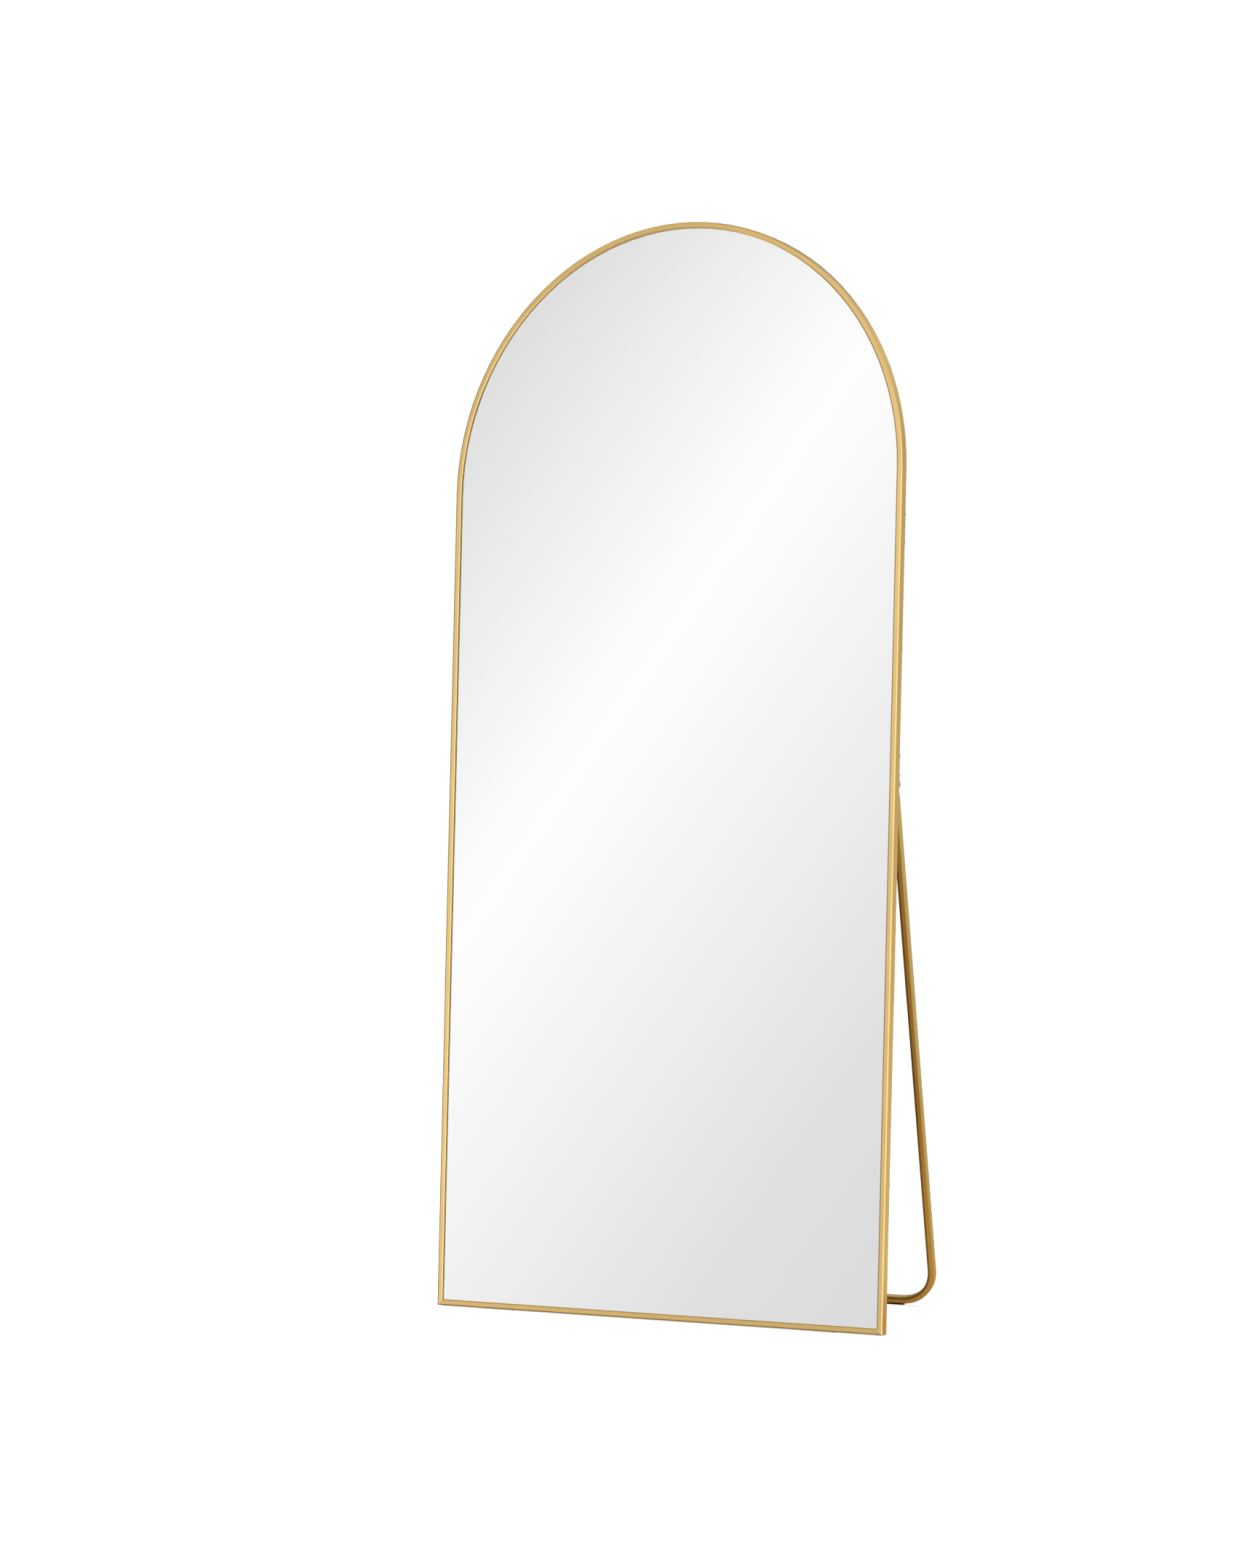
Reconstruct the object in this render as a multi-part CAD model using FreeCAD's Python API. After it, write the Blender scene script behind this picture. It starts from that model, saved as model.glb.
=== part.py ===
"""Arched leaning floor mirror: a slim aluminium frame, a silvered glass with its backing,
and a folding U-shaped stand that swings out of the back.

Millimetres and degrees. +Z is up and +X is to the right as seen from the front. The glass
looks towards -Y. The origin is on the floor, in the middle of the footprint.

The framed mirror is drawn upright first: x runs across, y runs back from the front face and
z runs up from the bottom edge. It is then leant back as one piece. The stand is drawn the
same way about its own pivot axis.
"""
import FreeCAD, Part
import math
import os

V = FreeCAD.Vector
X_AXIS = V(1, 0, 0)
Y_AXIS = V(0, 1, 0)
ORIGIN = V(0, 0, 0)

# ---------------------------------------------------------------- driving sizes
# whole mirror
mirror_width = 850.0          # over the frame
mirror_height = 1800.0        # bottom edge to the crown of the arch
lean_angle = 2.6              # the frame leans back this far
opening_angle = 24.5          # between the frame's back and the open stand

# frame extrusion
face_width = 10.0             # gold border seen from the front
lip_thickness = 2.4           # front lip that holds the glass
side_wall = 1.2
front_wall = 1.6
rear_wall = 1.4
chamber_width = 4.0           # hollow that takes the corner keys and the screws
face_bevel_width = 2.0        # the face falls away a little along both of its edges
face_bevel_drop = 0.6
lip_back_chamfer = 0.3
back_edge_chamfer = 0.5
mitre_gap = 0.1               # hairline at each lower corner

# glass and backing, from the front
tape_thickness = 0.4
tape_width = 2.4
glass_thickness = 4.0
film_thickness = 0.2
foam_thickness = 2.0
board_thickness = 3.0
rear_recess = 3.0             # from the board to the back of the frame
edge_clearance = 0.6          # glass and backing to the frame's web

# corner keys
key_leg_length = 32.0
key_clearance = 0.15
key_end_chamfer = 0.8

# board clips
clip_thickness = 0.8
clip_width = 14.0
clip_foot = 6.0               # how far a clip reaches over the board
clip_pitch = 340.0            # about this far apart
clip_inner_bend = 0.4         # the folds are drawn as small bevels
clip_outer_bend = 0.8
clip_step_clearance = 0.5     # clip's step to the frame's inner side
clip_corner_chamfer = 1.5

# blunt-ended self-tapping screws
screw_radius = 1.45
screw_head_radius = 2.7
screw_head_height = 1.7
screw_bite = 5.5              # depth below the back of the frame
screw_hole_clearance = 0.05

# stand hinge
pivot_height = 900.0          # along the frame from its bottom edge
pivot_inset = 23.0            # frame's outer side to the middle of the leg
bolt_radius = 3.0
bolt_head_radius = 5.2
bolt_head_height = 3.2
bolt_shoulder_height = 1.9    # the button head is drawn in two slopes
bolt_shoulder_radius = 4.3
bolt_crown_radius = 2.6       # flat on top of the head
bolt_socket_flats = 3.9
bolt_socket_depth = 1.9
bolt_end = 1.2                # past the nut
running_clearance = 0.05
side_play = 0.1
washer_radius = 6.0
washer_thickness = 1.0
nut_flats = 10.0
nut_height = 4.2
nut_collar_radius = 4.4
nut_collar_height = 1.8
nut_chamfer = 0.7
bush_radius = 4.5

# hinge brackets
bracket_thickness = 2.0
bracket_above = 26.0          # base plate above and below the pivot
bracket_below = 52.0
bracket_edge = 1.0            # base plate to the frame's outer side
bracket_corner_radius = 3.0
ear_foot_below = 40.0
ear_corner_radius = 3.0
stop_start = 16.0             # stop tab, measured down the open leg from the pivot
stop_end = 34.0
stop_gap = 0.05
stop_bend_radius = 1.8
bracket_screw_ends = 8.0      # outer screws to the ends of the base plate

# stand tube
tube_size = 12.0
tube_wall = 1.2
tube_corner_radius = 2.0
leg_top = 9.0                 # leg above the pivot
leg_parallel = 50.0           # straight top of the leg, below the pivot
leg_kink_radius = 80.0
leg_taper = 6.25              # each leg leans in towards the foot bar
foot_bend_radius = 66.0       # middle of the tube
swing_clearance = 1.2         # top of the leg to the frame's back

# tube end plugs
plug_head = 1.5
plug_insert = 3.0
plug_clearance = 0.15
plug_edge_chamfer = 0.6

# rubber feet
frame_foot_length = 60.0
frame_foot_width = 10.0
frame_foot_front = 2.5        # set back from the frame's front face
frame_foot_inset = 90.0       # from the frame's outer side
frame_foot_least = 1.0        # thickness at the frame's back edge
stand_foot_length = 70.0
stand_foot_width = 9.0
stand_foot_least = 2.4        # under the lowest edge of the tube

# keyhole plates for a wall
hanger_thickness = 1.5
hanger_height = 62.0
hanger_reach = 15.5           # frame's outer side to the keyhole
hanger_edge = 0.8
hanger_drop = 95.0            # below the springing of the arch
hanger_corner_radius = 4.0
keyhole_radius = 5.0
keyhole_slot_width = 5.0
keyhole_slot_rise = 11.0
hanger_screw_spacing = 44.0

# drawing limits
cut_margin = 1.0              # cutters reach this far past what they cut
same_place = 1e-3             # nearer than this counts as the same place
in_line = 0.99                # cosine above which two directions count as the same

# ---------------------------------------------------------------- derived sizes
half_width = mirror_width / 2
spring_height = mirror_height - half_width
tape_front = lip_thickness
glass_front = tape_front + tape_thickness
film_front = glass_front + glass_thickness
foam_front = film_front + film_thickness
board_front = foam_front + foam_thickness
board_back = board_front + board_thickness
frame_depth = board_back + rear_recess
rear_width = side_wall + chamber_width + side_wall
plate_inset = rear_width + edge_clearance
screw_line = rear_width / 2
screw_hole_radius = screw_radius + screw_hole_clearance

tube_half = tube_size / 2
stand_tilt = opening_angle - lean_angle
tilt_cos = math.cos(math.radians(stand_tilt))
tilt_sin = math.sin(math.radians(stand_tilt))
opening_cos = math.cos(math.radians(opening_angle))
opening_sin = math.sin(math.radians(opening_angle))
lean_cos = math.cos(math.radians(lean_angle))
lean_sin = math.sin(math.radians(lean_angle))

pivot_x = half_width - pivot_inset
corner_reach = (leg_top + plug_head) * opening_sin + tube_half * opening_cos
pivot_depth = frame_depth + corner_reach + swing_clearance
frame_lift = frame_foot_least + frame_depth * lean_sin
pivot_y = pivot_height * lean_sin + pivot_depth * lean_cos
pivot_z = pivot_height * lean_cos - pivot_depth * lean_sin + frame_lift

tube_flat = tube_half - tube_corner_radius
bar_reach = tube_flat * (tilt_cos + tilt_sin) + tube_corner_radius
bar_drop = (pivot_z - bar_reach - stand_foot_least) / tilt_cos
footprint = pivot_y + bar_drop * tilt_sin + bar_reach
ear_inner_x = pivot_x + tube_half + side_play + washer_thickness
ear_outer_x = ear_inner_x + bracket_thickness
nut_x = pivot_x - tube_half - side_play - washer_thickness

frame_place = FreeCAD.Placement(
    V(0, -footprint / 2, frame_lift), FreeCAD.Rotation(X_AXIS, -lean_angle))
stand_place = FreeCAD.Placement(
    V(0, pivot_y - footprint / 2, pivot_z), FreeCAD.Rotation(X_AXIS, stand_tilt))


# ---------------------------------------------------------------- shared shapes
def rounded_wire(corners):
    """Closed outline in the XY plane from corners (x, y, radius)."""
    joints = []
    for i, (x, y, radius) in enumerate(corners):
        here = V(x, y, 0)
        before = corners[i - 1]
        after = corners[(i + 1) % len(corners)]
        back = (V(before[0], before[1], 0) - here).normalize()
        ahead = (V(after[0], after[1], 0) - here).normalize()
        if radius == 0:
            joints.append((here, None, here))
            continue
        half = back.getAngle(ahead) / 2
        towards = (back + ahead).normalize()
        middle = here + towards * (radius / math.sin(half) - radius)
        reach = radius / math.tan(half)
        joints.append((here + back * reach, middle, here + ahead * reach))
    edges = []
    for i, (arrive, middle, leave) in enumerate(joints):
        if middle is not None:
            edges.append(Part.Arc(arrive, middle, leave).toShape())
        following = joints[(i + 1) % len(joints)][0]
        if leave.distanceToPoint(following) > same_place:
            edges.append(Part.LineSegment(leave, following).toShape())
    return Part.Wire(edges)


def rounded_face(corners):
    return Part.Face(rounded_wire(corners))


def rectangle(low_x, low_y, high_x, high_y, radius=0):
    return rounded_face([(low_x, low_y, radius), (high_x, low_y, radius),
                         (high_x, high_y, radius), (low_x, high_y, radius)])


def upright(face):
    """Turn a face drawn in x and y into the plane of the mirror, x and z, at y = 0."""
    turned = face.copy()
    turned.rotate(ORIGIN, X_AXIS, 90)
    return turned


def rod(radius, start_x, end_x, y=0, z=0):
    """Round bar along x."""
    return Part.makeCylinder(radius, end_x - start_x, V(start_x, y, z), X_AXIS)


def drill(radius, x, z, start_y, end_y):
    """Round bar along y."""
    return Part.makeCylinder(radius, end_y - start_y, V(x, start_y, z), Y_AXIS)


def mirrored(shape):
    return shape.mirror(ORIGIN, X_AXIS)


def placed(shape, placement):
    moved = shape.copy()
    moved.Placement = placement.multiply(moved.Placement)
    return moved


def in_frame(shape):
    return placed(shape, frame_place)


def in_stand(shape):
    return placed(shape, stand_place)


def chamfered(corners):
    """Face in the XY plane from corners (x, y, how far its two sides are cut back)."""
    points = []
    for i, (x, y, chamfer) in enumerate(corners):
        here = V(x, y, 0)
        before = corners[i - 1]
        after = corners[(i + 1) % len(corners)]
        if chamfer == 0:
            points.append(here)
            continue
        points.append(here + (V(before[0], before[1], 0) - here).normalize() * chamfer)
        points.append(here + (V(after[0], after[1], 0) - here).normalize() * chamfer)
    return Part.Face(Part.makePolygon(points + points[:1]))


def above_floor(shape):
    reach = mirror_width
    floor = Part.makeBox(2 * reach, 2 * reach, reach, V(-reach, -reach, -reach))
    return shape.cut(floor)


def write(name, shape):
    shape.exportStep("parts/" + name + ".step")


# ---------------------------------------------------------------- frame extrusion
def frame_section():
    """The extrusion's cross-section: x inwards from the outer side, y back from the face."""
    outline = chamfered([
        (0, face_bevel_drop, 0),
        (face_bevel_width, 0, 0),
        (face_width - face_bevel_width, 0, 0),
        (face_width, face_bevel_drop, 0),
        (face_width, lip_thickness, lip_back_chamfer),
        (rear_width, lip_thickness, 0),
        (rear_width, frame_depth, 0),
        (0, frame_depth, back_edge_chamfer)])
    chamber = rectangle(side_wall, front_wall, side_wall + chamber_width, frame_depth - rear_wall)
    return outline.cut(chamber)


def mitre_block(shorten):
    """Everything that belongs to the bottom rail, between its two 45 degree cuts."""
    left = -half_width + shorten
    block = upright(Part.Face(Part.makePolygon([
        V(left, 0, 0),
        V(left + face_width, face_width, 0),
        V(-left - face_width, face_width, 0),
        V(-left, 0, 0),
        V(left, 0, 0)])))
    block.translate(V(0, frame_depth + cut_margin, 0))
    return block.extrude(V(0, -frame_depth - 2 * cut_margin, 0))


def frame_arch():
    """Two uprights and the half-round top, bent from one length of extrusion."""
    section = frame_section().Faces[0]
    section.translate(V(-half_width, 0, 0))
    side = section.extrude(V(0, 0, spring_height))
    section.translate(V(0, 0, spring_height))
    bend = section.revolve(V(0, 0, spring_height), Y_AXIS, 180)
    arch = side.fuse([bend, mirrored(side)]).removeSplitter()
    return arch.cut([mitre_block(0)] + screw_holes(side_stations()))


def bottom_rail():
    """Straight length of the same extrusion, mitred at both ends."""
    rail = frame_section().Faces[0].extrude(V(0, 0, mirror_width))
    rail.rotate(ORIGIN, Y_AXIS, -90)
    rail.translate(V(half_width, 0, 0))
    return rail.common(mitre_block(mitre_gap)).cut(screw_holes(rail_stations()))


def corner_key():
    """L-shaped key, cut from an L extrusion and pressed into both chambers (left corner)."""
    near = side_wall + key_clearance
    far = side_wall + chamber_width - key_clearance
    end = side_wall + key_leg_length
    shape = chamfered([
        (near, near, key_end_chamfer), (end, near, key_end_chamfer),
        (end, far, key_end_chamfer), (far, far, 0),
        (far, end, key_end_chamfer), (near, end, key_end_chamfer)])
    shape = upright(shape)
    depth = frame_depth - rear_wall - front_wall - 2 * key_clearance
    shape.translate(V(-half_width, front_wall + key_clearance + depth, 0))
    return shape.extrude(V(0, -depth, 0))


# ---------------------------------------------------------------- places on the frame's back
# A station is a point on the frame's outer side with the direction that points inwards.
def spaced(start, end, pitch):
    count = max(1, round((end - start) / pitch))
    return [start + (end - start) * (i + 0.5) / count for i in range(count)]


def side_clip_heights():
    below = spaced(key_leg_length, pivot_height - bracket_below, clip_pitch)
    hanger_low = spring_height - hanger_drop - hanger_height / 2
    above = spaced(pivot_height + bracket_above, hanger_low, clip_pitch)
    return below + above


def side_clip_stations():
    found = []
    for z in side_clip_heights():
        found.append((-half_width, z, 1, 0))
        found.append((half_width, z, -1, 0))
    for turn in spaced(0, 180, math.degrees(clip_pitch / half_width)):
        out_x = math.cos(math.radians(turn))
        out_z = math.sin(math.radians(turn))
        found.append((half_width * out_x, spring_height + half_width * out_z, -out_x, -out_z))
    return found


def rail_stations():
    return [(x, 0, 0, 1) for x in spaced(-half_width, half_width, clip_pitch)]


def bracket_screw_heights():
    top = pivot_height + bracket_above - bracket_screw_ends
    bottom = pivot_height - bracket_below + bracket_screw_ends
    return [bottom, (top + bottom) / 2, top]


def hanger_screw_heights():
    middle = spring_height - hanger_drop
    return [middle - hanger_screw_spacing / 2, middle + hanger_screw_spacing / 2]


def both_sides(heights):
    return [(side * half_width, z, -side, 0) for z in heights for side in (-1, 1)]


def side_stations():
    return (side_clip_stations() + both_sides(bracket_screw_heights())
            + both_sides(hanger_screw_heights()))


def at_station(shape, station):
    x, z, inward_x, inward_z = station
    turn = math.degrees(math.atan2(-inward_z, inward_x))
    return placed(shape, FreeCAD.Placement(V(x, 0, z), FreeCAD.Rotation(Y_AXIS, turn)))


def screw_holes(stations):
    hole = drill(screw_hole_radius, screw_line, 0, frame_depth - rear_wall - cut_margin,
                 frame_depth + cut_margin)
    return [at_station(hole, station) for station in stations]


# ---------------------------------------------------------------- glass and backing
def arch_plate(inset, front, thickness):
    """Arched sheet, a given distance inside the frame's outer side."""
    side = half_width - inset
    outline = Part.Wire([
        Part.LineSegment(V(-side, front, inset), V(side, front, inset)).toShape(),
        Part.LineSegment(V(side, front, inset), V(side, front, spring_height)).toShape(),
        Part.Arc(V(side, front, spring_height), V(0, front, spring_height + side),
                 V(-side, front, spring_height)).toShape(),
        Part.LineSegment(V(-side, front, spring_height), V(-side, front, inset)).toShape()])
    return Part.Face(outline).extrude(V(0, thickness, 0))


def glazing_tape():
    """Thin foam tape between the front lip and the glass, all the way round."""
    outer = arch_plate(plate_inset, tape_front, tape_thickness)
    inner = arch_plate(plate_inset + tape_width, tape_front, tape_thickness)
    return outer.cut(inner)


# ---------------------------------------------------------------- clips and screws
def board_clip():
    """Stepped spring-steel clip: screwed to the frame's back, its foot holds the board."""
    heel = back_edge_chamfer
    step = rear_width + clip_step_clearance
    tip = step + clip_thickness + clip_foot
    strip = chamfered([
        (heel, frame_depth, 0),
        (step, frame_depth, clip_inner_bend),
        (step, board_back, clip_outer_bend),
        (tip, board_back, 0),
        (tip, board_back + clip_thickness, 0),
        (step + clip_thickness, board_back + clip_thickness, clip_inner_bend),
        (step + clip_thickness, frame_depth + clip_thickness, clip_outer_bend),
        (heel, frame_depth + clip_thickness, 0)])
    strip.translate(V(0, 0, -clip_width / 2))
    clip = strip.extrude(V(0, 0, clip_width))
    corners = [edge for edge in clip.Edges
               if abs(edge.Length - clip_thickness) < same_place
               and abs(edge.tangentAt(0).y) > in_line]
    clip = clip.makeChamfer(clip_corner_chamfer, corners)
    hole = drill(screw_hole_radius, screw_line, 0, frame_depth - cut_margin,
                 frame_depth + clip_thickness + cut_margin)
    return clip.cut(hole)


def pan_screw(seat):
    """Screw with a flat pan head, its seat a given distance behind the frame's face."""
    shank = drill(screw_radius, screw_line, 0, frame_depth - screw_bite, seat)
    head = drill(screw_head_radius, screw_line, 0, seat, seat + screw_head_height)
    return shank.fuse(head)


def screw_group(stations, plate_thickness):
    screw = pan_screw(frame_depth + plate_thickness)
    return Part.makeCompound([at_station(screw, station) for station in stations])


# ---------------------------------------------------------------- hinge
def hinge_bracket():
    """Pressed steel bracket on the right: base plate, upright ear and stop tab."""
    low = pivot_height - bracket_below
    high = pivot_height + bracket_above
    outer_x = half_width - bracket_edge
    base = upright(rounded_face([
        (ear_inner_x, low, bracket_corner_radius), (outer_x, low, bracket_corner_radius),
        (outer_x, high, bracket_corner_radius), (ear_inner_x, high, bracket_corner_radius)]))
    base.translate(V(0, frame_depth + bracket_thickness, 0))
    base = base.extrude(V(0, -bracket_thickness, 0))
    ear = ear_plate()
    ear.translate(V(ear_inner_x, 0, 0))
    ear = ear.extrude(V(bracket_thickness, 0, 0))
    bracket = base.fuse([ear, stop_tab()]).removeSplitter()
    bolt_hole = rod(bolt_radius + running_clearance, ear_inner_x - cut_margin,
                    ear_outer_x + cut_margin, pivot_depth, pivot_height)
    holes = [bolt_hole]
    for z in bracket_screw_heights():
        holes.append(drill(screw_hole_radius, half_width - screw_line, z, frame_depth - cut_margin,
                           frame_depth + bracket_thickness + cut_margin))
    return bracket.cut(holes)


def ear_crown():
    return tube_half + stop_gap + bracket_thickness


def ear_plate():
    """Side view of the ear: round over the pivot, then straight down beside the open leg."""
    crown = ear_crown()
    start = frame_depth
    down_y = opening_sin
    down_z = -opening_cos
    tip_y = pivot_depth + stop_end * down_y + crown * opening_cos
    tip_z = pivot_height + stop_end * down_z + crown * opening_sin
    slant_y = pivot_depth + crown * math.tan(math.radians(45 - opening_angle / 2))
    outline = rounded_face([
        (start, pivot_height - ear_foot_below, 0),
        (tip_y, tip_z, ear_corner_radius),
        (slant_y, pivot_height + crown, crown),
        (start, pivot_height + crown, 0)])
    turned = outline.copy()
    turned.rotate(ORIGIN, V(1, 1, 1), 120)
    return turned


def stop_tab():
    """Flange turned in from the ear's back edge; the open leg leans on it."""
    near = tube_half + stop_gap
    tab = Part.makeBox(ear_outer_x - pivot_x + tube_half, bracket_thickness,
                       stop_end - stop_start, V(pivot_x - tube_half, near, -stop_end))
    bend = [edge for edge in tab.Edges
            if abs(edge.CenterOfMass.x - ear_outer_x) < same_place
            and abs(edge.CenterOfMass.y - near - bracket_thickness) < same_place
            and abs(edge.tangentAt(0).z) > in_line]
    tab = tab.makeFillet(stop_bend_radius, bend)
    tab.rotate(ORIGIN, X_AXIS, opening_angle)
    tab.translate(V(0, pivot_depth, pivot_height))
    return tab


def pivot_bolt():
    """Button-head bolt along x, head outside the ear, on the pivot axis."""
    end = nut_x - nut_height - nut_collar_height - bolt_end
    crown = ear_outer_x + bolt_head_height
    profile = Part.Face(Part.makePolygon([
        V(end, 0, 0),
        V(end, bolt_radius, 0),
        V(ear_outer_x, bolt_radius, 0),
        V(ear_outer_x, bolt_head_radius, 0),
        V(ear_outer_x + bolt_shoulder_height, bolt_shoulder_radius, 0),
        V(crown, bolt_crown_radius, 0),
        V(crown, 0, 0),
        V(end, 0, 0)]))
    bolt = profile.revolve(ORIGIN, X_AXIS, 360)
    bolt = bolt.cut(hexagon(bolt_socket_flats, crown - bolt_socket_depth, crown + cut_margin))
    bolt.translate(V(0, pivot_depth, pivot_height))
    return bolt


def hexagon(flats, start_x, end_x):
    """Six-sided prism along x."""
    radius = flats / 2 / math.cos(math.pi / 6)
    corners = [V(start_x, radius * math.cos(i * math.pi / 3), radius * math.sin(i * math.pi / 3))
               for i in range(7)]
    return Part.Face(Part.makePolygon(corners)).extrude(V(end_x - start_x, 0, 0))


def pivot_nut():
    """Self-locking nut on the inner side of the leg."""
    start = nut_x - nut_height
    hexagonal = hexagon(nut_flats, start, nut_x)
    rim = nut_flats / 2 / math.cos(math.pi / 6)
    trim = Part.makeCone(rim - nut_chamfer, rim + nut_height, nut_height + nut_chamfer,
                         V(start, 0, 0), X_AXIS)
    collar = rod(nut_collar_radius, start - nut_collar_height, start)
    nut = hexagonal.common(trim).fuse(collar)
    nut = nut.cut(rod(bolt_radius + running_clearance,
                      start - nut_collar_height - cut_margin, nut_x + cut_margin))
    nut.translate(V(0, pivot_depth, pivot_height))
    return nut


def pivot_washer(start_x):
    ring = rod(washer_radius, start_x, start_x + washer_thickness)
    ring = ring.cut(rod(bolt_radius + running_clearance, start_x - cut_margin,
                        start_x + washer_thickness + cut_margin))
    ring.translate(V(0, pivot_depth, pivot_height))
    return ring


# ---------------------------------------------------------------- stand
# Drawn about the pivot axis: x across, z up the leg, y towards its back.
def tube_section():
    outer = rectangle(-tube_half, -tube_half, tube_half, tube_half, tube_corner_radius)
    bore = tube_half - tube_wall
    inner = rectangle(-bore, -bore, bore, bore)
    return outer.cut(inner).Faces[0]


def bent_tube(start, heading, runs):
    """Tube along a flat path in x and z. Each run is (length, bend radius, turn after it);
    the heading is measured from +z towards +x, and a positive turn goes the same way."""
    pieces = []
    here = V(start)
    for length, radius, turn in runs:
        section = placed(tube_section(), FreeCAD.Placement(here, FreeCAD.Rotation(Y_AXIS, heading)))
        ahead = V(math.sin(math.radians(heading)), 0, math.cos(math.radians(heading)))
        pieces.append(section.extrude(ahead * length))
        here = here + ahead * length
        if turn:
            section.translate(ahead * length)
            inside = V(ahead.z, 0, -ahead.x) * math.copysign(radius, turn)
            centre = here + inside
            pieces.append(section.revolve(centre, Y_AXIS * math.copysign(1, turn), abs(turn)))
            spun = FreeCAD.Rotation(Y_AXIS, turn).multVec(here - centre)
            here = centre + spun
            heading = heading + turn
    return pieces[0].fuse(pieces[1:]).removeSplitter()


def foot_bar_half():
    """Half the straight length of the bar between its two bends."""
    return leg_foot_x() - foot_bend_radius * math.tan(math.radians(90 - leg_taper) / 2)


def kink_reach():
    return leg_kink_radius * math.tan(math.radians(leg_taper) / 2)


def leg_foot_x():
    """Where the middle line of the leg would meet the middle line of the bar."""
    return pivot_x - (bar_drop - leg_parallel) * math.tan(math.radians(leg_taper))


def half_stand():
    """Right leg from its open top end down, round the foot bend and along half the bar."""
    slope = (bar_drop - leg_parallel) / math.cos(math.radians(leg_taper))
    foot_reach = foot_bend_radius * math.tan(math.radians(90 - leg_taper) / 2)
    runs = [
        (leg_top + leg_parallel - kink_reach(), leg_kink_radius, leg_taper),
        (slope - kink_reach() - foot_reach, foot_bend_radius, 90 - leg_taper),
        (foot_bar_half(), 0, 0)]
    return bent_tube(V(pivot_x, 0, leg_top), 180, runs)


def stand_tube():
    """U-shaped stand of square tube, with a cross hole for the bush in each leg."""
    right = half_stand()
    tube = right.fuse(mirrored(right)).removeSplitter()
    hole = rod(bush_radius + running_clearance, pivot_x - tube_size, pivot_x + tube_size)
    return tube.cut([hole, mirrored(hole)])


def pivot_bush():
    bush = rod(bush_radius, pivot_x - tube_half, pivot_x + tube_half)
    return bush.cut(rod(bolt_radius + running_clearance, pivot_x - tube_size, pivot_x + tube_size))


def end_plug():
    """Moulded plug in the open top end of a leg."""
    bore = tube_half - tube_wall - plug_clearance
    head = rectangle(-tube_half, -tube_half, tube_half, tube_half, tube_corner_radius)
    head = head.extrude(V(0, 0, plug_head))
    rim = [edge for edge in head.Edges if abs(edge.CenterOfMass.z - plug_head) < same_place]
    head = head.makeChamfer(plug_edge_chamfer, rim)
    insert = rectangle(-bore, -bore, bore, bore)
    insert = insert.extrude(V(0, 0, -plug_insert))
    plug = head.fuse(insert)
    plug.translate(V(pivot_x, 0, leg_top))
    return plug


# ---------------------------------------------------------------- rubber feet
def frame_foot():
    """Rubber foot stuck under the bottom rail, with a level sole."""
    below = frame_lift + frame_depth
    block = Part.makeBox(frame_foot_length, frame_foot_width, below,
                         V(half_width - frame_foot_inset - frame_foot_length,
                           frame_foot_front, -below))
    return above_floor(in_frame(block))


def stand_foot():
    """Rubber wedge under the bar, next to the bend, with a level sole and upright sides."""
    start = foot_bar_half() - stand_foot_length
    under = bar_drop + tube_half
    front = stand_place.multVec(V(start, -stand_foot_width / 2, -under))
    back = stand_place.multVec(V(start, stand_foot_width / 2, -under))
    side = Part.makePolygon([front, back, V(start, back.y, 0), V(start, front.y, 0), front])
    return Part.Face(side).extrude(V(stand_foot_length, 0, 0))


# ---------------------------------------------------------------- wall plates
def hanger_plate():
    """Steel keyhole plate on the right upright, over the recess behind the board."""
    middle = spring_height - hanger_drop
    inner_x = half_width - hanger_reach - keyhole_radius - hanger_corner_radius
    plate = upright(rectangle(inner_x, middle - hanger_height / 2,
                              half_width - hanger_edge, middle + hanger_height / 2,
                              hanger_corner_radius))
    plate.translate(V(0, frame_depth + hanger_thickness, 0))
    plate = plate.extrude(V(0, -hanger_thickness, 0))
    keyhole_x = half_width - hanger_reach
    keyhole_z = middle - keyhole_slot_rise / 2
    before = frame_depth - cut_margin
    behind = frame_depth + hanger_thickness + cut_margin
    slot = Part.makeBox(keyhole_slot_width, behind - before, keyhole_slot_rise,
                        V(keyhole_x - keyhole_slot_width / 2, before, keyhole_z))
    cuts = [
        drill(keyhole_radius, keyhole_x, keyhole_z, before, behind),
        slot,
        drill(keyhole_slot_width / 2, keyhole_x, keyhole_z + keyhole_slot_rise, before, behind)]
    for z in hanger_screw_heights():
        cuts.append(drill(screw_hole_radius, half_width - screw_line, z, before, behind))
    return plate.cut(cuts)


# ---------------------------------------------------------------- write every piece
os.makedirs("parts", exist_ok=True)

write("frame_arch", in_frame(frame_arch()))
write("bottom_rail", in_frame(bottom_rail()))
write("corner_key_left", in_frame(corner_key()))
write("corner_key_right", in_frame(mirrored(corner_key())))

write("glazing_tape", in_frame(glazing_tape()))
write("mirror_glass", in_frame(arch_plate(plate_inset, glass_front, glass_thickness)))
write("safety_film", in_frame(arch_plate(plate_inset, film_front, film_thickness)))
write("foam_sheet", in_frame(arch_plate(plate_inset, foam_front, foam_thickness)))
write("backing_board", in_frame(arch_plate(plate_inset, board_front, board_thickness)))

clip_places = side_clip_stations() + rail_stations()
clips = [at_station(board_clip(), station) for station in clip_places]
write("board_clips", in_frame(Part.makeCompound(clips)))
write("board_clip_screws", in_frame(screw_group(clip_places, clip_thickness)))

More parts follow.
